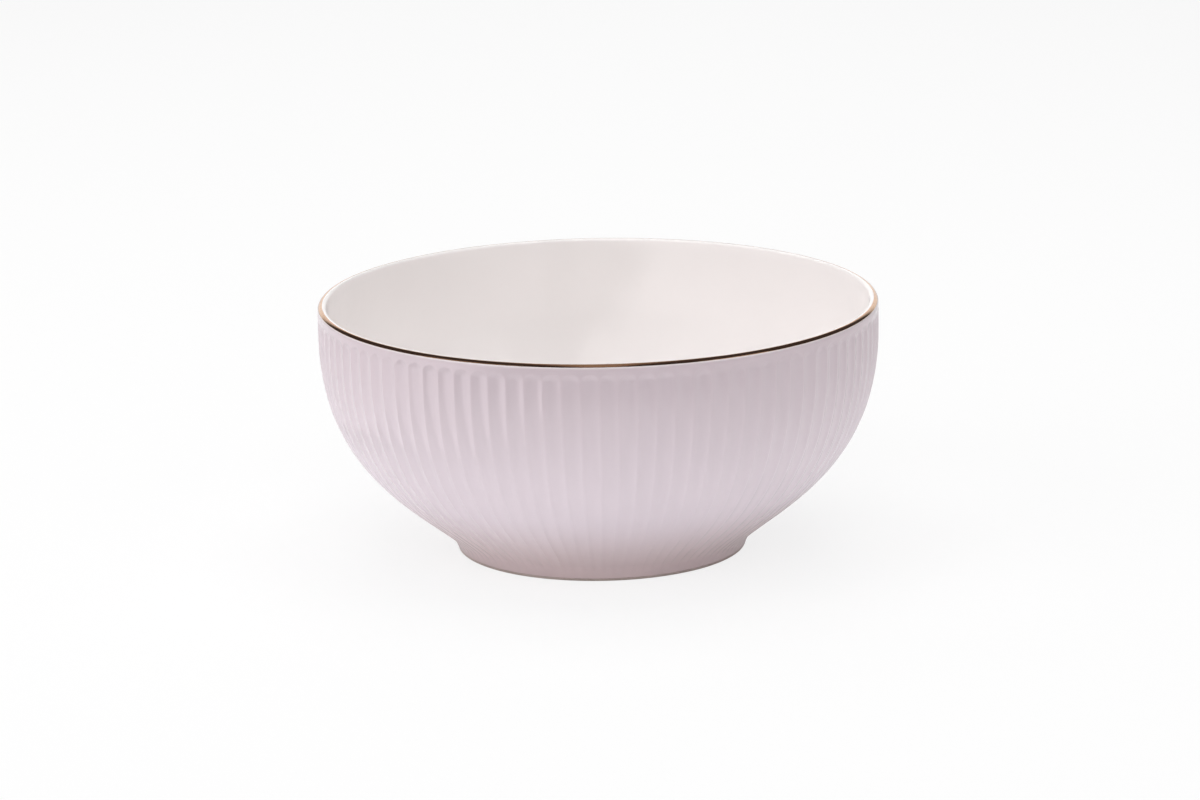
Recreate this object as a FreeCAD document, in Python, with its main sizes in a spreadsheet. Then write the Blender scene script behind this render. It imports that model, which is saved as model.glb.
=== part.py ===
import FreeCAD, Part
import Sketcher
import math
import os

from FreeCAD import Placement, Rotation, Vector

# A footed porcelain serving bowl with a fluted outside, a clear glaze and a gold line on its lip.
# Millimetres, +Z up. The origin is on the axis, in the plane of the foot ring's standing edge.

SIZES = (
    ("rim_radius", 115.2, "outermost radius of the finished wall, measured on the flute crests"),
    ("bowl_height", 104.0, "top of the lip above the standing edge"),
    ("shoulder_drop", 12.4, "from the top of the lip down to where the wall turns upright"),
    ("upper_fullness", 55.0, "reach of the upright tangent that swells the upper wall"),
    ("lower_fullness", 24.0, "reach of the sloping tangent that swells the lower wall"),
    ("wall_slope", 43.0, "angle between the table and the wall where it leaves the foot, in degrees"),
    ("foot_radius", 61.4, "outside radius of the foot ring where it meets the wall"),
    ("foot_height", 5.4, "height of the foot ring where it meets the wall"),
    ("foot_taper", 1.8, "how much the foot ring narrows from the wall down to the bare edge"),
    ("bare_edge_height", 1.2, "height of the unglazed edge of the foot ring"),
    ("bare_edge_round", 1.2, "how far the unglazed edge rounds in on each side"),
    ("standing_width", 3.6, "width of the flat that the bowl stands on"),
    ("recess_draft", 0.8, "how much the recess under the base narrows upwards"),
    ("recess_depth", 3.8, "depth of the recess under the base"),
    ("base_thickness", 5.7, "thickness of the base between the recess and the inside floor"),
    ("floor_radius", 42.0, "radius of the flat middle of the inside floor"),
    ("wall_thickness", 5.0, "thickness of the wall at the foot, on the flute crests"),
    ("lip_thickness", 3.5, "thickness of the wall at the lip"),
    ("lip_round", 2.2, "radius of the rounded outer shoulder of the lip"),
    ("flute_count", 96, "flutes around the bowl"),
    ("flute_depth", 0.75, "depth of a flute between its crests at the rim radius"),
    ("flute_drop", 4.0, "from the top of the lip down to the upper ends of the flutes"),
    ("flute_runout", 3.0, "length in which a flute fades out at its upper end"),
    ("glaze_thickness", 0.25, "thickness of the glaze"),
    ("gold_offset", 0.25, "from the crown of the lip out to the gold line"),
    ("gold_width", 2.0, "width of the gold line along the lip"),
    ("gold_thickness", 0.2, "thickness of the gold line"),
)

WALL_STEPS = 9
RUNOUT_STEPS = 3
FOOT_FADE = 0.75
GOLD_FLATS = 3
START_CIRCLE = 20.0
DIAGONAL = math.sqrt(0.5)
AXIS = Vector(0, 0, 1)
ORIGIN = Vector(0, 0, 0)

# How a sketch constraint names the start and end of a line, the sketch's origin and its upright axis.
_, START, END = range(3)
AXES = -1
UPRIGHT = -2


def make_sheet(doc):
    """Spreadsheet with one row for each driving size: its name, its value and what it measures."""
    sheet = doc.addObject("Spreadsheet::Sheet", "Sizes")
    for row, (name, value, meaning) in enumerate(SIZES, start=1):
        sheet.set(f"A{row}", name)
        sheet.set(f"B{row}", str(value))
        sheet.set(f"C{row}", meaning)
        sheet.setAlias(f"B{row}", name)
    return sheet


class Bowl:
    """Points of the bowl's cross-section, worked out from the driving sizes.

    A point is (radius, height). Inset is the distance from the finished surface into the bowl, so inset 0 is the
    outside of the glaze and an inset of the glaze thickness is the porcelain under it.
    """

    def __init__(self, sheet):
        self.size = {name: float(sheet.get(name)) for name, _, _ in SIZES}
        size = self.size
        self.flutes = int(round(size["flute_count"]))
        self.sector = 360.0 / self.flutes
        self.shoulder = size["bowl_height"] - size["shoulder_drop"]
        self.crown_radius = size["rim_radius"] - size["lip_round"]
        self.inner_lip_round = size["lip_thickness"] - size["lip_round"]
        self.floor_height = size["recess_depth"] + size["base_thickness"]
        self.flute_top = size["bowl_height"] - size["flute_drop"]
        self.bare_outer = size["foot_radius"] - size["foot_taper"]
        self.standing_outer = self.bare_outer - size["bare_edge_round"]
        self.standing_inner = self.standing_outer - size["standing_width"]
        self.bare_inner = self.standing_inner - size["bare_edge_round"]
        self.recess_radius = self.bare_inner - size["recess_draft"]
        slope = math.radians(size["wall_slope"])
        wall = Part.BezierCurve()
        wall.setPoles(
            [
                Vector(size["foot_radius"], 0, size["foot_height"]),
                Vector(
                    size["foot_radius"] + size["lower_fullness"] * math.cos(slope),
                    0,
                    size["foot_height"] + size["lower_fullness"] * math.sin(slope),
                ),
                Vector(size["rim_radius"], 0, self.shoulder - size["upper_fullness"]),
                Vector(size["rim_radius"], 0, self.shoulder),
            ]
        )
        self.wall = wall

    def inward(self, step):
        """Unit normal of the outer wall, pointing into the bowl, at a step from 0 (foot) to 1 (shoulder)."""
        along = self.wall.tangent(step)[0]
        return (-along.z, along.x)

    def outside(self, step, inset):
        point = self.wall.value(step)
        normal = self.inward(step)
        return (point.x + inset * normal[0], point.z + inset * normal[1])

    def foot_normal(self):
        """Unit normal of the foot ring's outer side, pointing into the bowl."""
        rise = self.size["foot_height"] - self.size["bare_edge_height"]
        length = math.hypot(self.size["foot_taper"], rise)
        return (-rise / length, self.size["foot_taper"] / length)

    def foot_corner(self, inset):
        """Where the outer side of the foot ring meets the wall."""
        side = self.foot_normal()
        wall = self.inward(0.0)
        share = inset / (1.0 + side[0] * wall[0] + side[1] * wall[1])
        return (
            self.size["foot_radius"] + share * (side[0] + wall[0]),
            self.size["foot_height"] + share * (side[1] + wall[1]),
        )

    def bare_edge(self, inset):
        """Upper rim of the unglazed edge, on the outer side of the foot ring."""
        return (self.bare_outer + inset / self.foot_normal()[0], self.size["bare_edge_height"])

    def thickness(self, step):
        foot = self.size["wall_thickness"]
        return foot + (self.size["lip_thickness"] - foot) * step

    def inside(self, step, inset):
        return self.outside(step, self.thickness(step) - inset)

    def flute_depth(self, radius):
        """Flutes get shallower as they get narrower towards the foot."""
        return self.size["flute_depth"] * radius / self.size["rim_radius"]


def spot(point, degrees=0.0):
    """Point of the cross-section as a place in space, turned about the axis."""
    angle = math.radians(degrees)
    return Vector(point[0] * math.cos(angle), point[0] * math.sin(angle), point[1])


def flute_section(bowl, crest, inward, depth):
    """Arc across one flute, from the crest on the X axis to the next crest, sunk by depth in its middle."""
    middle = (crest[0] + depth * inward[0], crest[1] + depth * inward[1])
    arc = Part.Arc(spot(crest), spot(middle, bowl.sector / 2.0), spot(crest, bowl.sector))
    return Part.Wire([arc.toShape()])


def wall_flute(bowl, inset):
    """Face of one flute from the foot's corner up to the plain band under the lip."""
    corner = bowl.foot_corner(inset)
    sections = [flute_section(bowl, corner, bowl.inward(0.0), bowl.flute_depth(corner[0]))]
    for index in range(1, WALL_STEPS + 1):
        step = index / WALL_STEPS
        crest = bowl.outside(step, inset)
        sections.append(flute_section(bowl, crest, bowl.inward(step), bowl.flute_depth(crest[0])))
    upright = (-1.0, 0.0)
    runout = bowl.size["flute_runout"]
    radius = bowl.size["rim_radius"] - inset
    for index in range(RUNOUT_STEPS + 1):
        share = index / RUNOUT_STEPS
        crest = (radius, bowl.flute_top - runout * (1.0 - share))
        sections.append(flute_section(bowl, crest, upright, bowl.flute_depth(radius) * (1.0 - share**2)))
    return Part.makeLoft(sections, False, False).Faces[0]


def foot_flute(bowl, inset):
    """Face of one flute where it runs down the foot ring and fades out at the bare edge."""
    corner = bowl.foot_corner(inset)
    edge = bowl.bare_edge(inset)
    middle = ((corner[0] + edge[0]) / 2.0, (corner[1] + edge[1]) / 2.0)
    depth = bowl.flute_depth(corner[0])
    side = bowl.foot_normal()
    sections = [
        flute_section(bowl, edge, side, 0.0),
        flute_section(bowl, middle, side, depth * FOOT_FADE),
        flute_section(bowl, corner, bowl.inward(0.0), depth),
    ]
    return Part.makeLoft(sections, False, False).Faces[0]


def line(start, end):
    return Part.makeLine(spot(start), spot(end))


def arc(start, middle, end):
    return Part.Arc(spot(start), spot(middle), spot(end)).toShape()


def lip_edges(bowl, inset):
    """Cross-section from the flute tops over the rounded lip and down the inside to the shoulder."""
    size = bowl.size
    outer = size["rim_radius"] - inset
    outer_round = size["lip_round"] - inset
    inner_round = bowl.inner_lip_round - inset
    outer_centre = size["bowl_height"] - size["lip_round"]
    inner_centre = size["bowl_height"] - bowl.inner_lip_round
    crown = (bowl.crown_radius, size["bowl_height"] - inset)
    inner = bowl.crown_radius - inner_round
    return [
        line((outer, bowl.flute_top), (outer, outer_centre)),
        arc(
            (outer, outer_centre),
            (bowl.crown_radius + outer_round * DIAGONAL, outer_centre + outer_round * DIAGONAL),
            crown,
        ),
        arc(
            crown,
            (bowl.crown_radius - inner_round * DIAGONAL, inner_centre + inner_round * DIAGONAL),
            (inner, inner_centre),
        ),
        line((inner, inner_centre), (inner, bowl.shoulder)),
    ]


def inside_edge(bowl, inset):
    """Cross-section of the inside, one smooth curve from the shoulder down to the flat floor."""
    points = [bowl.inside(1.0 - index / WALL_STEPS, inset) for index in range(WALL_STEPS - 1)]
    points.append((bowl.size["floor_radius"], bowl.floor_height - inset))
    curve = Part.BSplineCurve()
    curve.interpolate(
        Points=[spot(point) for point in points],
        InitialTangent=Vector(0, 0, -1),
        FinalTangent=Vector(-1, 0, 0),
    )
    return curve.toShape()


def swept(edge):
    """Face that one cross-section edge sweeps around the axis, with its seam on the crest over the X axis."""
    return edge.revolve(ORIGIN, AXIS, 360.0)


def disc(radius, height):
    """Flat round face with its seam in line with the faces around it."""
    rim = Part.Circle(Vector(0, 0, height), AXIS, radius).toShape()
    return Part.Face(Part.Wire([rim]))


def closed_solid(bowl, flute_faces, plain_faces):
    """One solid from the faces of a single flute, repeated around the axis, and the turned faces."""
    faces = list(plain_faces)
    for index in range(bowl.flutes):
        for face in flute_faces:
            turned = face.copy()
            turned.rotate(ORIGIN, AXIS, index * bowl.sector)
            faces.append(turned)
    solid = Part.Solid(Part.Shell(faces))
    if solid.Volume < 0:
        solid.reverse()
    return solid


def flute_faces(bowl, inset):
    return [foot_flute(bowl, inset), wall_flute(bowl, inset)]


def turned_faces(bowl, inset):
    """The plain faces of the glazed surface, from the flute tops over the lip to the inside floor."""
    edges = lip_edges(bowl, inset) + [inside_edge(bowl, inset)]
    faces = [swept(edge) for edge in edges]
    faces.append(disc(bowl.size["floor_radius"], bowl.floor_height - inset))
    return faces


def porcelain_body(bowl):
    """Wall, floor and foot ring: everything under the glaze, and the bare edge that it stands on."""
    size = bowl.size
    glaze = size["glaze_thickness"]
    edge_height = size["bare_edge_height"]
    outer_edge = bowl.bare_edge(glaze)
    inner_edge = (bowl.bare_inner + glaze, edge_height)
    standing_outer = (bowl.standing_outer, 0.0)
    standing_inner = (bowl.standing_inner, 0.0)
    ceiling = (bowl.recess_radius + glaze, size["recess_depth"] + glaze)
    edges = [
        arc(outer_edge, rounded_middle(outer_edge, standing_outer), standing_outer),
        line(standing_outer, standing_inner),
        arc(standing_inner, rounded_middle(inner_edge, standing_inner), inner_edge),
        line(inner_edge, ceiling),
    ]
    faces = turned_faces(bowl, glaze)
    faces += [swept(edge) for edge in edges]
    faces.append(disc(ceiling[0], ceiling[1]))
    return closed_solid(bowl, flute_faces(bowl, glaze), faces)


def rounded_middle(upper, lower):
    """Middle of the quarter round from the upper rim of the bare edge down to the standing flat."""
    return (
        lower[0] + (upper[0] - lower[0]) * DIAGONAL,
        upper[1] + (lower[1] - upper[1]) * DIAGONAL,
    )


def glaze_coat(bowl):
    """Glaze over the outside, the lip and the inside, between the bare edge and the inside floor."""
    glaze = bowl.size["glaze_thickness"]
    faces = turned_faces(bowl, 0.0) + turned_faces(bowl, glaze)
    faces.append(swept(line(bowl.bare_edge(0.0), bowl.bare_edge(glaze))))
    return closed_solid(bowl, flute_faces(bowl, 0.0) + flute_faces(bowl, glaze), faces)


def add_shape(doc, name, shape):
    feature = doc.addObject("Part::Feature", name)
    feature.Label = name
    feature.Shape = shape
    feature.Placement = Placement(ORIGIN, Rotation())
    return feature


def upright_sketch(body, name):
    """Sketch on the body's own XZ plane: sketch X is the radius and sketch Y is the height."""
    plane = next(item for item in body.Origin.OriginFeatures if item.Role == "XZ_Plane")
    sketch = body.newObject("Sketcher::SketchObject", name)
    sketch.AttachmentSupport = [(plane, "")]
    sketch.MapMode = "FlatFace"
    return sketch


def turned_body(doc, name):
    body = doc.addObject("PartDesign::Body", name)
    body.Label = name
    return body


def bind(sketch, constraint, expression):
    """Adds a sketch dimension and ties it to the driving sizes."""
    index = sketch.addConstraint(constraint)
    sketch.setExpression(f"Constraints[{index}]", expression)


def bound_section(sketch, corners):
    """Closed run of straight lines, with each corner's (across, up) tied to the driving sizes."""
    # The corners start on a circle, and the dimensions then bring them to their places.
    places = []
    for index in range(len(corners)):
        angle = math.tau * index / len(corners)
        places.append(Vector(START_CIRCLE * (2 + math.cos(angle)), START_CIRCLE * (2 + math.sin(angle)), 0))
    for index, place in enumerate(places):
        sketch.addGeometry(Part.LineSegment(place, places[(index + 1) % len(places)]))
    for index in range(len(places)):
        sketch.addConstraint(Sketcher.Constraint("Coincident", index, END, (index + 1) % len(places), START))
    for index, (across, up) in enumerate(corners):
        if across == "0":
            sketch.addConstraint(Sketcher.Constraint("PointOnObject", index, START, UPRIGHT))
        else:
            bind(sketch, Sketcher.Constraint("DistanceX", AXES, START, index, START, places[index].x), across)
        bind(sketch, Sketcher.Constraint("DistanceY", AXES, START, index, START, places[index].y), up)


def revolve(body, sketch):
    turn = body.newObject("PartDesign::Revolution", body.Name + "_turn")
    turn.Profile = sketch
    turn.ReferenceAxis = (sketch, ["V_Axis"])
    turn.Angle = 360.0
    body.Tip = turn
    return turn


def base_glaze(doc):
    """Glaze in the recess under the base: a flat disc with a low upturned ring around it."""
    inner_edge = (
        "Sizes.foot_radius - Sizes.foot_taper - 2 * Sizes.bare_edge_round - Sizes.standing_width"
    )
    corner = inner_edge + " - Sizes.recess_draft"
    glaze = " + Sizes.glaze_thickness"
    corners = [
        ("0", "Sizes.recess_depth"),
        (corner, "Sizes.recess_depth"),
        (inner_edge, "Sizes.bare_edge_height"),
        (inner_edge + glaze, "Sizes.bare_edge_height"),
        (corner + glaze, "Sizes.recess_depth" + glaze),
        ("0", "Sizes.recess_depth" + glaze),
    ]
    body = turned_body(doc, "base_glaze")
    sketch = upright_sketch(body, "base_glaze_section")
    bound_section(sketch, corners)
    revolve(body, sketch)
    return body


def gold_corners():
    """Expressions for the corners of the gold line's section, each as (across, up), in order around it.

    Both long sides are runs of GOLD_FLATS straight lines. Those of the under side touch the lip's round in their
    middles, so the gold lies on the glaze and doesn't cut into it.
    """
    flat = f"(Sizes.gold_width / Sizes.lip_round / {GOLD_FLATS} * 1 rad)"
    start = "(Sizes.gold_offset / Sizes.lip_round * 1 rad)"
    under = f"Sizes.lip_round / cos({flat} / 2)"
    over = f"(Sizes.lip_round + Sizes.gold_thickness) / cos({flat} / 2)"
    steps = range(GOLD_FLATS + 1)
    corners = []
    for reach, step in [(under, k) for k in steps] + [(over, k) for k in reversed(steps)]:
        angle = f"({start} + {step} * {flat})"
        across = f"Sizes.rim_radius - Sizes.lip_round + {reach} * sin({angle})"
        up = f"Sizes.bowl_height - Sizes.lip_round + {reach} * cos({angle})"
        corners.append((across, up))
    return corners


def gold_rim_line(doc):
    """Gold line on the outer shoulder of the lip: a thin band that follows its round."""
    body = turned_body(doc, "gold_rim_line")
    sketch = upright_sketch(body, "gold_rim_line_section")
    bound_section(sketch, gold_corners())
    revolve(body, sketch)
    return body


def check(doc, parts):
    """Stops if any object failed to build or a sub-part has no valid solid."""
    for item in doc.Objects:
        if "Invalid" in item.State or "Error" in item.State:
            raise RuntimeError(f"{item.Name} failed to build: {item.State}")
    for item in parts:
        if item.Shape.isNull() or not item.Shape.isValid() or not item.Shape.Solids:
            raise RuntimeError(f"{item.Label} has no valid solid")


def main():
    doc = FreeCAD.newDocument("ServingBowl")
    sheet = make_sheet(doc)
    doc.recompute()
    bowl = Bowl(sheet)
    parts = [
        add_shape(doc, "porcelain_body", porcelain_body(bowl)),
        add_shape(doc, "glaze_coat", glaze_coat(bowl)),
        base_glaze(doc),
        gold_rim_line(doc),
    ]
    doc.recompute()
    check(doc, parts)
    os.makedirs("parts", exist_ok=True)
    for item in parts:
        item.Shape.exportStep(os.path.join("parts", item.Label + ".step"))
        box = item.Shape.BoundBox
        print(
            f"{item.Label}: {len(item.Shape.Solids)} solid, {len(item.Shape.Faces)} faces, "
            f"{item.Shape.Volume:.1f} mm3, z {box.ZMin:.3f} to {box.ZMax:.3f}, radius {box.XMax:.3f}"
        )


main()
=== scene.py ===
import math

import bpy
import numpy as np
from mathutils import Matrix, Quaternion, Vector

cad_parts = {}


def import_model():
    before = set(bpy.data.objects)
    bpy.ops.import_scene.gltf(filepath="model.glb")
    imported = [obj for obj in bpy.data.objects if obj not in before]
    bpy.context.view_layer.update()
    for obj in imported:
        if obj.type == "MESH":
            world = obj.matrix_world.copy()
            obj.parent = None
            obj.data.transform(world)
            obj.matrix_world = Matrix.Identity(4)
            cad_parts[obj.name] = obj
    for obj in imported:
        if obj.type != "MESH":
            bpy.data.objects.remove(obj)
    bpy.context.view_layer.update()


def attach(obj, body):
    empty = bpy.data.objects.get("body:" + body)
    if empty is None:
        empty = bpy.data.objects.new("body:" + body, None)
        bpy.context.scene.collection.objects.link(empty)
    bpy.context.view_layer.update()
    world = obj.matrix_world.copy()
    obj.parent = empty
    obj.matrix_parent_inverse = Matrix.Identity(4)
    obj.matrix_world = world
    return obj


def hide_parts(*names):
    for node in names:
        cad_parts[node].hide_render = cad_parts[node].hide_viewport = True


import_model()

# Everything below is worked out in millimetres and written to the meshes in metres.
MM = 0.001
FLUTES = 96
SECTOR = 2 * math.pi / FLUTES
RIM_RADIUS = 115.19
BOWL_HEIGHT = 104.0
SHOULDER = 91.6
FOOT_CORNER = (61.4, 5.4)
WALL_POLES = (FOOT_CORNER, (78.953, 21.768), (RIM_RADIUS, 36.6), (RIM_RADIUS, SHOULDER))
FOOT_EDGE = (59.6, 1.2)
FOOT_FILLET = 2.6
FLUTE_DEPTH = 0.75
FLUTE_TOP = 100.0
FLUTE_RUNOUT = 3.2
FLUTE_FADE = 0.8
FOOT_FADE = 5.0
CREST_SOFTNESS = 0.09
HOLLOW_SOFTNESS = 0.004
# The flutes have their full depth from this height up and this share of it at the foot.
FULL_DEPTH_HEIGHT = 56.0
LOW_DEPTH_SHARE = 0.3
OUTER_ROUND = 2.2
INNER_ROUND = 1.3
CROWN_RADIUS = RIM_RADIUS - OUTER_ROUND
OUTER_LIP = (CROWN_RADIUS, BOWL_HEIGHT - OUTER_ROUND, OUTER_ROUND)
INNER_LIP = (CROWN_RADIUS, BOWL_HEIGHT - INNER_ROUND, INNER_ROUND)
INNER_RADIUS = INNER_LIP[0] - INNER_LIP[2]
FLOOR_RADIUS = 42.0
FLOOR_HEIGHT = 9.5
# How far behind the glazed surface a piece is closed, under the outside and under the inside.
GLAZE_BACK = (1.1, 0.4)
BODY_BACK = (0.95, 0.3)
STANDING_OUTER = 58.4
STANDING_INNER = 54.8
STANDING_ROUND = 1.2
RECESS_HEIGHT = 4.05
RECESS_GLAZE = 3.85
# Where the gold starts and ends on the outer lip, in degrees from the crown.
GOLD_FROM = 6.5
GOLD_TO = 58.6
GOLD_PROUD = 0.05
GOLD_BACK = 0.12
# The lip and the wall are uneven from this height up, more and more over the next stretch.
UNEVEN_FROM = 60.0
UNEVEN_OVER = 44.0
# The inside's colours start on the lip, at this height and over this stretch.
INSIDE_FROM = 102.2
INSIDE_OVER = 1.2
FINE_ABOVE = 102.6
SHARP_ANGLE = math.radians(48)

rng = np.random.default_rng(96)

# Shares of a half flute at which it has a column of vertices, closest together beside the crest.
HALF_FLUTE = np.array([0.0, 0.05, 0.13, 0.26, 0.46, 0.72, 1.0])
FLUTE_SHARES = np.concatenate([HALF_FLUTE, HALF_FLUTE[-2:0:-1]])
FLUTE_PLACES = np.concatenate([HALF_FLUTE / 2, 1 - HALF_FLUTE[-2:0:-1] / 2])
FINE = ((np.arange(FLUTES)[:, None] + FLUTE_PLACES) * SECTOR).ravel()
COARSE = FINE[::6]


def waves(angles, amplitude, orders, seed):
    """Smooth seeded waviness around the axis, from 0 to the amplitude."""
    pick = np.random.default_rng(seed)
    total = np.zeros_like(angles)
    for order in orders:
        total += np.sin(order * angles + pick.uniform(0, 2 * math.pi)) * pick.uniform(0.4, 1.0)
    return amplitude * (0.5 + 0.5 * total / len(orders))


def clamped(value):
    return min(1.0, max(0.0, value))


def bezier(poles, shares):
    s = np.asarray(shares)[:, None]
    p = np.array(poles)
    return (
        (1 - s) ** 3 * p[0]
        + 3 * (1 - s) ** 2 * s * p[1]
        + 3 * (1 - s) * s**2 * p[2]
        + s**3 * p[3]
    )


def bezier_normal(poles, shares):
    """Unit normals of the wall's curve that point out of the bowl."""
    s = np.asarray(shares)[:, None]
    p = np.array(poles)
    along = (1 - s) ** 2 * (p[1] - p[0]) + 2 * (1 - s) * s * (p[2] - p[1]) + s**2 * (p[3] - p[2])
    along /= np.linalg.norm(along, axis=1)[:, None]
    return np.stack([along[:, 1], -along[:, 0]], axis=1)


def arc(centre, start, end, steps):
    """Points of an arc in the (radius, height) plane.

    The angles are in degrees from straight up, positive outwards.
    """
    angles = np.radians(np.linspace(start, end, steps))
    x, z, radius = centre
    return np.stack([x + radius * np.sin(angles), z + radius * np.cos(angles)], axis=1)


def straight(start, end, steps):
    return np.linspace(start, end, steps)


def outline(runs):
    """Joins runs of points into one line without the doubled points where they meet."""
    line = np.vstack(runs)
    keep = np.r_[True, np.linalg.norm(np.diff(line, axis=0), axis=1) > 1e-4]
    return line[keep]


def outward(line):
    """Unit normals to the left of a line's direction, with the radius to the right."""
    along = np.gradient(line, axis=0)
    along /= np.linalg.norm(along, axis=1)[:, None]
    return np.stack([-along[:, 1], along[:, 0]], axis=1)


def outside_line():
    """The glazed outside, from the crown of the lip down to the bare edge of the foot."""
    even = np.linspace(1, 0, 28)
    wall = bezier(WALL_POLES, even)
    corner = np.array(FOOT_CORNER)
    up = wall[-2] - corner
    up /= np.linalg.norm(up)
    down = np.array(FOOT_EDGE) - corner
    down /= np.linalg.norm(down)
    above, below = corner + FOOT_FILLET * up, corner + FOOT_FILLET * down
    wall = wall[np.linalg.norm(wall - corner, axis=1) > FOOT_FILLET + 0.8]
    s = np.linspace(0, 1, 7)[:, None]
    fillet = (1 - s) ** 2 * above + 2 * (1 - s) * s * corner + s**2 * below
    return outline(
        [
            arc(OUTER_LIP, 0, 90, 10),
            straight((RIM_RADIUS, OUTER_LIP[1]), (RIM_RADIUS, FLUTE_TOP + 0.3), 3),
            straight((RIM_RADIUS, FLUTE_TOP), (RIM_RADIUS, FLUTE_TOP - FLUTE_RUNOUT - 0.2), 11),
            straight((RIM_RADIUS, 95.6), (RIM_RADIUS, SHOULDER), 3),
            wall,
            fillet,
            straight(below, (59.75, 1.55), 3),
            [(59.68, 1.38), (59.56, 1.26), (59.42, 1.2)],
        ]
    )


def wall_thickness(share):
    """Thickness at a share of the wall's curve, 0 at the foot and 1 at the shoulder."""
    return 5.0 - 1.5 * share


def inside_wall(inset):
    """Inside of the wall, from the shoulder down to the flat of the floor, sunk by inset."""
    shares = np.linspace(1, 2 / 9, 30)
    depth = (wall_thickness(shares) - inset)[:, None]
    upper = bezier(WALL_POLES, shares) - bezier_normal(WALL_POLES, shares) * depth
    leave = upper[-1] - upper[-2]
    leave /= np.linalg.norm(leave)
    end = np.array((FLOOR_RADIUS, FLOOR_HEIGHT - inset))
    reach = np.linalg.norm(end - upper[-1]) * 0.36
    poles = (upper[-1], upper[-1] + leave * reach, end + (reach, 0), end)
    return np.vstack([upper, bezier(poles, np.linspace(0, 1, 12)[1:])])


def inside_line():
    """The glazed inside, from the crown of the lip down to the flat floor."""
    return outline(
        [
            arc(INNER_LIP, 0, -90, 7),
            straight((INNER_RADIUS, INNER_LIP[1]), (INNER_RADIUS, SHOULDER), 6),
            inside_wall(0.0),
            straight((FLOOR_RADIUS - 8, FLOOR_HEIGHT), (2, FLOOR_HEIGHT), 5),
        ]
    )


def ring(points_radius, points_height, angles):
    """Ring of vertices in metres."""
    radius = np.broadcast_to(points_radius, angles.shape)
    height = np.broadcast_to(points_height, angles.shape)
    return np.stack([radius * np.cos(angles), radius * np.sin(angles), height], axis=1) * MM


def pole(height):
    return np.array([[0, 0, height * MM]])


def join_rings(first, second, first_start, second_start):
    """Faces between two rings, or between a ring and a pole.

    Where one ring has more vertices, each face takes several of them.
    """
    count_a, count_b = len(first), len(second)
    if count_a == 1:
        return [
            (first_start, second_start + j, second_start + (j + 1) % count_b)
            for j in range(count_b)
        ]
    if count_b == 1:
        return [
            (first_start + j, second_start, first_start + (j + 1) % count_a)
            for j in range(count_a)
        ]
    few = min(count_a, count_b)
    each_a, each_b = count_a // few, count_b // few
    faces = []
    for j in range(few):
        over = [second_start + (j * each_b + i) % count_b for i in range(each_b + 1)]
        back = [first_start + (j * each_a + i) % count_a for i in range(each_a, -1, -1)]
        faces.append(tuple(over + back))
    return faces


def turned_piece(name, rings, loop=False, values=None):
    """Closed mesh over a row of rings. Values are attributes, one array for each ring."""
    starts = np.cumsum([0] + [len(r) for r in rings])
    pairs = [(i, i + 1) for i in range(len(rings) - 1)]
    if loop:
        pairs.append((len(rings) - 1, 0))
    faces = []
    for a, b in pairs:
        faces += join_rings(rings[a], rings[b], int(starts[a]), int(starts[b]))
    mesh = bpy.data.meshes.new(name)
    mesh.from_pydata(np.vstack(rings).tolist(), [], faces)
    for key, arrays in (values or {}).items():
        layer = mesh.attributes.new(key, "FLOAT", "POINT")
        flat = np.concatenate([np.broadcast_to(v, len(r)) for v, r in zip(arrays, rings)])
        layer.data.foreach_set("value", flat.astype(np.float32))
    mesh.shade_smooth()
    mesh.set_sharp_from_angle(angle=SHARP_ANGLE)
    mesh.validate()
    piece = bpy.data.objects.new(name, mesh)
    bpy.context.scene.collection.objects.link(piece)
    return piece


# Hand finishing: the lip dips and the wall draws in by about a tenth of a millimetre,
# never outwards, and the flutes differ a little in depth.
LIP_DIP = waves(FINE, 0.12, (2, 3, 5, 7, 11), 5)
WALL_DRAW = waves(FINE, 0.10, (3, 4, 6, 9), 8)
FLUTE_VARIES = np.repeat(1 + rng.uniform(-0.07, 0.05, FLUTES), len(FLUTE_PLACES))


def flute_shape(height):
    """How deep the flutes are around a ring at this height, as a share of their full depth."""
    share = np.tile(FLUTE_SHARES, FLUTES)
    soft = CREST_SOFTNESS
    share = (np.sqrt(share**2 + soft**2) - soft) / (math.sqrt(1 + soft**2) - soft)
    across = 2 * share - share**2
    along = min(1.0, (FLUTE_TOP - height) / FLUTE_RUNOUT)
    scoop = across - (1 - along) ** 2
    depth = (scoop + np.sqrt(scoop**2 + HOLLOW_SOFTNESS)) / 2
    foot = clamped((height - FOOT_EDGE[1]) / FOOT_FADE)
    fade = foot * foot * (3 - 2 * foot)
    near_top = clamped((FLUTE_TOP + FLUTE_FADE - height) / FLUTE_FADE)
    return depth * FLUTE_VARIES * fade * near_top


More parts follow.
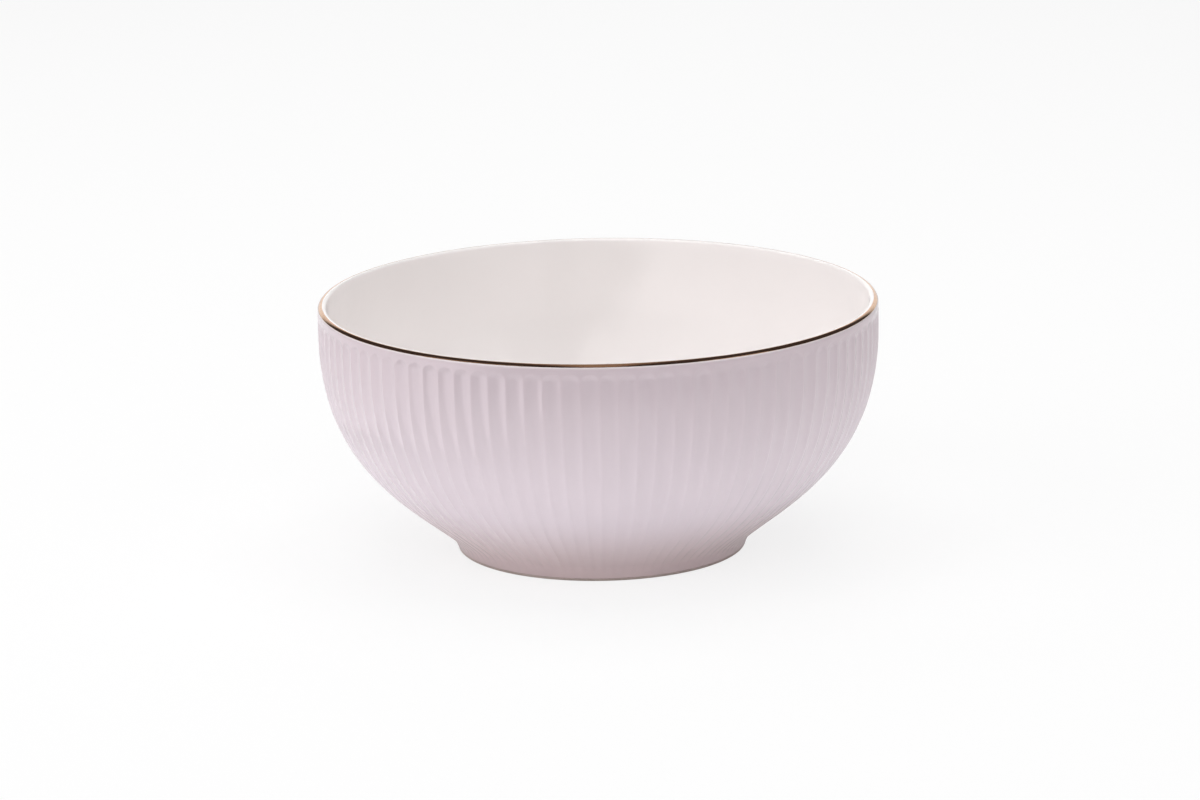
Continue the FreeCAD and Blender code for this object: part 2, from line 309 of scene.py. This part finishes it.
def glazed_surface():
    """Rings and attributes of the glaze, from the middle of the inside to the bare edge."""
    rings, inside, hollow = [pole(FLOOR_HEIGHT)], [1.0], [0.0]
    line = inside_line()[::-1]
    for radius, height in line:
        near_lip = clamped((height - UNEVEN_FROM) / UNEVEN_OVER)
        angles = FINE if height > FINE_ABOVE else COARSE
        step = len(FINE) // len(angles)
        draw = WALL_DRAW[::step] * near_lip
        dip = LIP_DIP[::step] * near_lip
        rings.append(ring(radius - draw, height - dip, angles))
        inside.append(1.0)
        hollow.append(0.0)
    line = outside_line()
    normals = outward(line)
    for (radius, height), (across, up) in zip(line[1:], normals[1:]):
        near_lip = clamped((height - UNEVEN_FROM) / UNEVEN_OVER)
        shape = flute_shape(height)
        low = LOW_DEPTH_SHARE + (1 - LOW_DEPTH_SHARE) * min(1.0, height / FULL_DEPTH_HEIGHT)
        depth = FLUTE_DEPTH * radius / RIM_RADIUS * shape * low
        draw = depth + WALL_DRAW * near_lip * max(0.0, across)
        rings.append(ring(radius - draw * across, height - depth * up - LIP_DIP * near_lip, FINE))
        inside.append(clamped((height - INSIDE_FROM) / INSIDE_OVER))
        hollow.append(shape)
    return rings, inside, hollow


def sunk_rings(insets):
    """Rings that close a piece behind the glazed surface.

    They run up inside the outer wall, round the lip and down to the floor.
    """
    outer_inset, inner_inset = insets
    floor_height = FLOOR_HEIGHT - inner_inset
    shares = np.linspace(0.04, 1, 30)
    wall = bezier(WALL_POLES, shares) - bezier_normal(WALL_POLES, shares) * outer_inset
    inner = INNER_RADIUS + inner_inset
    outer = RIM_RADIUS - outer_inset
    top = BOWL_HEIGHT - max(outer_inset, inner_inset) - 0.2
    line = outline(
        [
            wall,
            [(outer, 99.5), (outer - 0.3, top - 0.6), (outer - 0.8, top)],
            [(inner + 0.4, top), (inner, top - 0.6), (inner, 96)],
            inside_wall(inner_inset),
            [(30, floor_height), (12, floor_height)],
        ]
    )
    return [ring(radius, height, COARSE) for radius, height in line]


def glaze_piece():
    rings, inside, hollow = glazed_surface()
    back = [ring(59.25, 1.2, COARSE), ring(60.0, 3.6, COARSE)]
    back += sunk_rings(GLAZE_BACK)
    back.append(pole(FLOOR_HEIGHT - GLAZE_BACK[1]))
    zeros = [0.0] * len(back)
    values = {"inside": inside + zeros, "hollow": hollow + zeros}
    return turned_piece("Clear_Glaze", rings + back, values=values)


def body_piece():
    """The porcelain under the glaze, which shows only at the bare edge of the foot."""
    up = [ring(59.2, 1.24, COARSE), ring(59.9, 3.6, COARSE)] + sunk_rings(BODY_BACK)
    line = outline(
        [
            [(59.56, 1.16)],
            arc((STANDING_OUTER, STANDING_ROUND, STANDING_ROUND), 96, 180, 8),
            straight((STANDING_OUTER, 0), (STANDING_INNER, 0), 5),
            arc((STANDING_INNER, STANDING_ROUND, STANDING_ROUND), 180, 264, 8),
            [(53.62, 1.2), (53.84, 1.24)],
            [(53.05, RECESS_HEIGHT), (40, RECESS_HEIGHT), (20, RECESS_HEIGHT)],
        ]
    )
    rings = [pole(FLOOR_HEIGHT - BODY_BACK[1])] + up[::-1]
    rings += [ring(radius, height, COARSE) for radius, height in line]
    rings.append(pole(RECESS_HEIGHT))
    return turned_piece("Porcelain_Body", rings)


def base_piece():
    """Glaze in the recess under the base, pooled a little into its corner."""
    line = outline(
        [
            [(12, RECESS_HEIGHT), (30, RECESS_HEIGHT), (53.05, RECESS_HEIGHT)],
            [(53.84, 1.24), (53.78, 1.2), (53.68, 1.2), (53.58, 1.3), (53.1, 2.6)],
            arc((51.9, 2.75, 1.05), 90, 0, 8),
            [(46, 3.8), (34, 3.82), (20, 3.84), (8, RECESS_GLAZE)],
        ]
    )
    rings = [pole(RECESS_HEIGHT)]
    rings += [ring(radius, height, COARSE) for radius, height in line]
    rings.append(pole(RECESS_GLAZE))
    return turned_piece("Base_Glaze", rings)


def gold_piece():
    """The gold line: a thin skin over the lip's shoulder, with wavering edges."""
    angles = FINE[::2]
    dip = LIP_DIP[::2]
    draw = WALL_DRAW[::2]
    start = GOLD_FROM + waves(angles, 3.0, (3, 7, 13, 29, 61), 21) - 1.5
    start += waves(angles, 1.6, (97, 143, 211), 22) - 0.8
    end = GOLD_TO + waves(angles, 3.4, (2, 5, 11, 23, 53), 23) - 1.7
    end += waves(angles, 1.8, (89, 151, 197), 24) - 0.9
    proud = np.array([-0.02, 0.5, 0.9, 1.0, 1.0, 1.0, 1.0, 0.9, 0.5, -0.02]) * GOLD_PROUD
    shares = np.array([0.0, 0.015, 0.05, 0.2, 0.4, 0.6, 0.8, 0.95, 0.985, 1.0])
    centre_r, centre_z, radius = OUTER_LIP

    def skin(share, reach):
        a = np.radians(start + (end - start) * share)
        across = centre_r + reach * np.sin(a) - draw * np.sin(a)
        up = centre_z + reach * np.cos(a) - dip
        return ring(across, up, angles)

    rings = [skin(share, radius + lift) for share, lift in zip(shares, proud)]
    rings += [skin(share, radius - GOLD_BACK) for share in (0.95, 0.7, 0.4, 0.05)]
    return turned_piece("Gold_Line", rings, loop=True)


# Materials


class Shader:
    """Short way to place and link nodes in one material or world."""

    def __init__(self, owner):
        owner.use_nodes = True
        self.tree = owner.node_tree
        self.tree.nodes.clear()

    def add(self, kind, settings=None, inputs=None):
        node = self.tree.nodes.new(kind)
        for key, value in (settings or {}).items():
            setattr(node, key, value)
        for key, value in (inputs or {}).items():
            self.set(node, key, value)
        return node

    def set(self, node, key, value):
        if isinstance(value, bpy.types.NodeSocket):
            self.tree.links.new(value, node.inputs[key])
        else:
            node.inputs[key].default_value = value

    def math(self, operation, first, second=0.0):
        node = self.add("ShaderNodeMath", {"operation": operation}, {0: first, 1: second})
        return node.outputs[0]

    def ramp(self, value, low, high, to_low=0.0, to_high=1.0):
        """Smooth step of a value between two limits."""
        inputs = {
            "Value": value,
            "From Min": low,
            "From Max": high,
            "To Min": to_low,
            "To Max": to_high,
        }
        node = self.add("ShaderNodeMapRange", {"interpolation_type": "SMOOTHSTEP"}, inputs)
        return node.outputs[0]

    def mix(self, share, first, second):
        node = self.add("ShaderNodeMix", {"data_type": "RGBA"})
        self.set(node, 0, share)
        self.set(node, 6, first)
        self.set(node, 7, second)
        return node.outputs[2]

    def noise(self, where, scale, detail=2.0, rough=0.5):
        inputs = {"Vector": where, "Scale": scale, "Detail": detail, "Roughness": rough}
        return self.add("ShaderNodeTexNoise", None, inputs).outputs[0]

    def bump(self, height, distance, normal=None):
        inputs = {"Height": height, "Distance": distance}
        if normal is not None:
            inputs["Normal"] = normal
        return self.add("ShaderNodeBump", None, inputs).outputs[0]

    def surface(self, inputs):
        """Principled surface with these inputs, as the material's output."""
        node = self.add("ShaderNodeBsdfPrincipled", None, inputs)
        self.add("ShaderNodeOutputMaterial", None, {"Surface": node.outputs[0]})


def colour(red, green, blue):
    return (red, green, blue, 1.0)


def place(shader):
    return shader.add("ShaderNodeTexCoord").outputs["Object"]


def height_of(shader, where):
    return shader.add("ShaderNodeSeparateXYZ", None, {0: where}).outputs[2]


def pinholes(shader, where, scale, radius, share):
    """Rare tiny round marks: 1 inside one, 0 elsewhere."""
    cells = shader.add("ShaderNodeTexVoronoi", None, {"Vector": where, "Scale": scale})
    near = shader.ramp(cells.outputs["Distance"], radius, radius * 0.4)
    pick = shader.add("ShaderNodeSeparateXYZ", None, {0: cells.outputs["Color"]}).outputs[0]
    return shader.math("MULTIPLY", near, shader.math("LESS_THAN", pick, share))


GLAZE_IOR = 1.5
# The outside's colour turns lighter from the upper to the lower wall: painted light for light
# bounced up from the floor.
UPPER_COLOUR = colour(0.665, 0.565, 0.607)
LOWER_BOUNCE_LIT_COLOUR = colour(0.890, 0.795, 0.855)
# Warmer and darker near the foot: the darkening is painted shade where the wall turns in over the
# floor.
FOOT_SHADED_COLOUR = colour(0.770, 0.630, 0.640)
# Darker in the flute hollows: partly glaze pooled there, partly painted shade.
HOLLOW_POOLED_SHADED_COLOUR = colour(0.64, 0.555, 0.600)
INSIDE_COLOUR = colour(0.920, 0.878, 0.868)
# Darker towards the floor of the bowl: painted shade against the strong light from above.
BOWL_FLOOR_SHADED_COLOUR = colour(0.78, 0.745, 0.735)


def glaze_material():
    material = bpy.data.materials.new("Clear_Glaze_On_White")
    s = Shader(material)
    where = place(s)
    height = height_of(s, where)
    inside = s.add("ShaderNodeAttribute", {"attribute_name": "inside"}).outputs["Fac"]
    hollow = s.add("ShaderNodeAttribute", {"attribute_name": "hollow"}).outputs["Fac"]
    cloud = s.noise(where, 26.0, 3.0)
    # Painted light: the outer wall lighter towards the bottom.
    outer = s.mix(s.ramp(height, 0.102, 0.030), UPPER_COLOUR, LOWER_BOUNCE_LIT_COLOUR)
    # Painted shade: the outer wall warmer and darker near the foot.
    outer = s.mix(s.ramp(height, 0.036, 0.006), outer, FOOT_SHADED_COLOUR)
    # Painted shade, with pooled glaze, darkens the flute hollows, more higher up the wall.
    shade = s.math("MULTIPLY", hollow, s.ramp(height, 0.03, 0.09, 0.02, 0.22))
    outer = s.mix(shade, outer, HOLLOW_POOLED_SHADED_COLOUR)
    outer = s.mix(s.ramp(cloud, 0.35, 0.68, 0.0, 0.10), outer, colour(0.66, 0.58, 0.64))
    # Painted shade: the inside darker towards its floor.
    inner = s.mix(s.ramp(height, 0.056, 0.012), INSIDE_COLOUR, BOWL_FLOOR_SHADED_COLOUR)
    inner = s.mix(s.ramp(cloud, 0.35, 0.68, 0.0, 0.15), inner, colour(0.86, 0.815, 0.81))
    both = s.mix(inside, outer, inner)
    holes = pinholes(s, where, 95.0, 0.022, 0.05)
    both = s.mix(s.math("MULTIPLY", holes, 0.45), both, colour(0.34, 0.27, 0.22))
    rough = s.ramp(s.noise(where, 60.0, 3.0), 0.3, 0.7, 0.12, 0.19)
    rough = s.math("SUBTRACT", rough, s.math("MULTIPLY", inside, 0.065))
    ripple = s.bump(s.noise(where, 85.0, 2.0), 0.00010)
    peel = s.bump(s.noise(where, 620.0, 1.5), 0.000012, ripple)
    pitted = s.bump(s.math("MULTIPLY", holes, -1.0), 0.00006, peel)
    inputs = {"Base Color": both, "Roughness": rough, "Normal": pitted, "IOR": GLAZE_IOR}
    s.surface(inputs)
    return material


def bare_material():
    material = bpy.data.materials.new("Bare_Porcelain")
    s = Shader(material)
    where = place(s)
    cloud = s.noise(where, 70.0, 4.0)
    grain = s.noise(where, 2600.0, 3.0, 0.6)
    tone = s.mix(s.ramp(cloud, 0.3, 0.7), colour(0.62, 0.520, 0.490), colour(0.54, 0.445, 0.415))
    tone = s.mix(s.ramp(grain, 0.35, 0.7, 0.0, 0.5), tone, colour(0.42, 0.35, 0.30))
    worn = pinholes(s, where, 240.0, 0.05, 0.12)
    tone = s.mix(s.math("MULTIPLY", worn, 0.6), tone, colour(0.25, 0.19, 0.15))
    normal = s.bump(grain, 0.00007)
    rough = s.ramp(grain, 0.3, 0.7, 0.62, 0.85)
    inputs = {"Base Color": tone, "Roughness": rough, "Normal": normal}
    s.surface(inputs)
    return material


def base_material():
    material = bpy.data.materials.new("Base_Glaze")
    s = Shader(material)
    where = place(s)
    cloud = s.noise(where, 30.0, 3.0)
    tone = s.mix(s.ramp(cloud, 0.3, 0.7), colour(0.72, 0.665, 0.69), colour(0.66, 0.61, 0.63))
    holes = pinholes(s, where, 120.0, 0.03, 0.10)
    tone = s.mix(s.math("MULTIPLY", holes, 0.5), tone, colour(0.32, 0.25, 0.20))
    ripple = s.bump(s.noise(where, 70.0, 2.0), 0.0003)
    rough = s.ramp(s.noise(where, 80.0, 3.0), 0.3, 0.7, 0.08, 0.16)
    inputs = {"Base Color": tone, "Roughness": rough, "Normal": ripple, "IOR": GLAZE_IOR}
    s.surface(inputs)
    return material


def gold_material():
    """Fired gold: polished metal with brush streaks and rare light spots without metal, which are
    painted glints.
    """
    material = bpy.data.materials.new("Fired_Gold")
    s = Shader(material)
    where = place(s)
    cloud = s.noise(where, 48.0, 3.0)
    streak = s.noise(where, 900.0, 3.0, 0.6)
    tone = s.mix(s.ramp(cloud, 0.3, 0.7), colour(0.80, 0.50, 0.33), colour(0.70, 0.42, 0.25))
    tone = s.mix(s.ramp(streak, 0.4, 0.7, 0.0, 0.35), tone, colour(0.52, 0.30, 0.17))
    # Painted highlights: rare light spots without metal stand in for small bright glints on the
    # gold.
    glint_specks = pinholes(s, where, 170.0, 0.07, 0.07)
    tone = s.mix(glint_specks, tone, colour(0.86, 0.78, 0.70))
    metal = s.math("SUBTRACT", 1.0, glint_specks)
    rough = s.ramp(streak, 0.3, 0.75, 0.07, 0.16)
    normal = s.bump(streak, 0.000012)
    inputs = {"Base Color": tone, "Metallic": metal, "Roughness": rough, "Normal": normal}
    s.surface(inputs)
    return material


# Pieces


def dress(piece, material, node):
    piece.data.materials.append(material)
    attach(piece, "root")
    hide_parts(node)


dress(glaze_piece(), glaze_material(), "glaze_coat")
dress(body_piece(), bare_material(), "porcelain_body")
dress(base_piece(), base_material(), "base_glaze")
dress(gold_piece(), gold_material(), "gold_rim_line")


# Floor, light and camera

WHITE = colour(1.0, 1.0, 1.0)
DARK_ROOM = colour(0.05, 0.045, 0.05)
DIM_STRIP = colour(0.30, 0.27, 0.26)
FLOOR_HALF = 4
# In reflections the floor turns dark in front of this y, in metres.
GLOW_EDGE = -0.345
GLOW_EDGE_SOFTNESS = 0.015
# Share of the floor's light that is its own, and how much less of it shows in reflections.
GLOW_SHARE = 0.8
LESS_MIRRORED = 0.6
AMBIENT = 0.12


def seen_rays(shader):
    """Two values: 1 for all but diffuse and shadow rays, and 1 for mirrored rays alone."""
    path = shader.add("ShaderNodeLightPath").outputs
    both = shader.math("MAXIMUM", path["Is Camera Ray"], path["Is Glossy Ray"])
    return shader.math("MAXIMUM", both, path["Is Transmission Ray"]), path["Is Glossy Ray"]


def floor():
    """Pale floor under the bowl that turns dark in front of the bowl in its reflections."""
    mesh = bpy.data.meshes.new("Floor")
    corners = [(x * FLOOR_HALF, y * FLOOR_HALF, 0) for x, y in ((-1, -1), (1, -1), (1, 1), (-1, 1))]
    mesh.from_pydata(corners, [], [(0, 1, 2, 3)])
    plane = bpy.data.objects.new("Floor", mesh)
    bpy.context.scene.collection.objects.link(plane)
    material = bpy.data.materials.new("Pale_Floor")
    s = Shader(material)
    seen, glossy = seen_rays(s)
    across = s.add("ShaderNodeSeparateXYZ", None, {0: place(s)}).outputs[1]
    front = s.ramp(across, GLOW_EDGE, GLOW_EDGE - GLOW_EDGE_SOFTNESS)
    beyond = s.math("MULTIPLY", front, glossy)
    paint = s.add("ShaderNodeBsdfDiffuse", None, {"Color": colour(0.92, 0.92, 0.92)})
    shown = s.mix(beyond, WHITE, DARK_ROOM)
    glow = s.add("ShaderNodeEmission", None, {"Color": shown, "Strength": 1.0})
    less = s.math("MULTIPLY", glossy, LESS_MIRRORED)
    share = s.math("SUBTRACT", s.math("MULTIPLY", seen, GLOW_SHARE), less)
    share = s.math("MAXIMUM", share, beyond)
    inputs = {0: share, 1: paint.outputs[0], 2: glow.outputs[0]}
    surface = s.add("ShaderNodeMixShader", None, inputs)
    s.add("ShaderNodeOutputMaterial", None, {"Surface": surface.outputs[0]})
    mesh.materials.append(material)


def world():
    """White for the camera and behind the bowl, a dark room in the other reflections.

    Diffuse rays get plain ambient light.
    """
    scene_world = bpy.data.worlds.new("Studio")
    bpy.context.scene.world = scene_world
    s = Shader(scene_world)
    seen, glossy = seen_rays(s)
    direction = s.add("ShaderNodeTexCoord").outputs["Generated"]
    parts = s.add("ShaderNodeSeparateXYZ", None, {0: direction}).outputs
    dark = s.math("MULTIPLY", s.ramp(parts[1], 0.93, 0.80), glossy)
    strip = s.ramp(s.math("ABSOLUTE", parts[0]), 0.20, 0.05)
    room = s.mix(strip, DARK_ROOM, DIM_STRIP)
    shown = s.mix(dark, WHITE, room)
    white = s.add("ShaderNodeBackground", None, {"Color": shown, "Strength": 1.0})
    soft = s.add("ShaderNodeBackground", None, {"Color": WHITE, "Strength": AMBIENT})
    surface = s.add("ShaderNodeMixShader", None, {0: seen, 1: soft.outputs[0], 2: white.outputs[0]})
    s.add("ShaderNodeOutputWorld", None, {"Surface": surface.outputs[0]})


LAMP_TARGET = Vector((0, 0, 0.05))


def softbox(name, where, size, power, shines=False):
    """Square area lamp that faces the bowl. Only one that shines shows in reflections."""
    lamp = bpy.data.lights.new(name, "AREA")
    lamp.shape = "SQUARE"
    lamp.size = size
    lamp.energy = power
    holder = bpy.data.objects.new(name, lamp)
    holder.location = where
    holder.rotation_mode = "QUATERNION"
    holder.rotation_quaternion = (LAMP_TARGET - holder.location).to_track_quat("-Z", "Y")
    holder.visible_glossy = shines
    bpy.context.scene.collection.objects.link(holder)


# The camera, as fitted to the outline in the photograph: millimetres for the lens, else metres.
FOCAL_LENGTH = 183.91
SENSOR_WIDTH = 36.0
LENS_SHIFT = 0.01794
FAR_LIMIT = 30.0
CAMERA_TARGET = Vector((0.0, 0.0, 0.05175))
CAMERA_ELEVATION = math.radians(14.326)
CAMERA_DISTANCE = 2.530
CAMERA_ROLL = math.radians(-0.987)


def camera():
    lens = bpy.data.cameras.new("Camera")
    lens.lens = FOCAL_LENGTH
    lens.sensor_width = SENSOR_WIDTH
    lens.shift_y = LENS_SHIFT
    lens.clip_end = FAR_LIMIT
    holder = bpy.data.objects.new("Camera", lens)
    back = Vector((0.0, -math.cos(CAMERA_ELEVATION), math.sin(CAMERA_ELEVATION)))
    holder.location = CAMERA_TARGET + CAMERA_DISTANCE * back
    holder.rotation_mode = "QUATERNION"
    roll = Quaternion((0.0, 0.0, 1.0), CAMERA_ROLL)
    holder.rotation_quaternion = (-back).to_track_quat("-Z", "Y") @ roll
    bpy.context.scene.collection.objects.link(holder)
    bpy.context.scene.camera = holder


floor()
world()
softbox("Top_Box", (0.0, 0.15, 1.4), 1.3, 11.2)
softbox("Back_Box", (0.0, 1.5, 1.0), 0.9, 4.5)
softbox("Left_Box", (-1.25, -0.75, 0.85), 1.2, 1.5, True)
softbox("Left_Fill", (-1.25, -0.75, 0.85), 1.2, 12.3)
softbox("Right_Box", (1.3, -0.7, 0.8), 0.8, 1.4, True)
softbox("Right_Fill", (1.3, -0.7, 0.8), 1.2, 5.5)
softbox("Front_Box", (0.0, -1.7, 1.3), 0.9, 9.6)
softbox("Left_Back_Box", (-1.2, 0.8, 0.9), 0.9, 3.4)
softbox("Right_Back_Box", (1.2, 0.8, 0.9), 0.9, 1.2)
softbox("Low_Left_Box", (-1.3, -0.5, 0.25), 0.5, 1.1)
camera()
bpy.context.scene.view_settings.view_transform = "Standard"
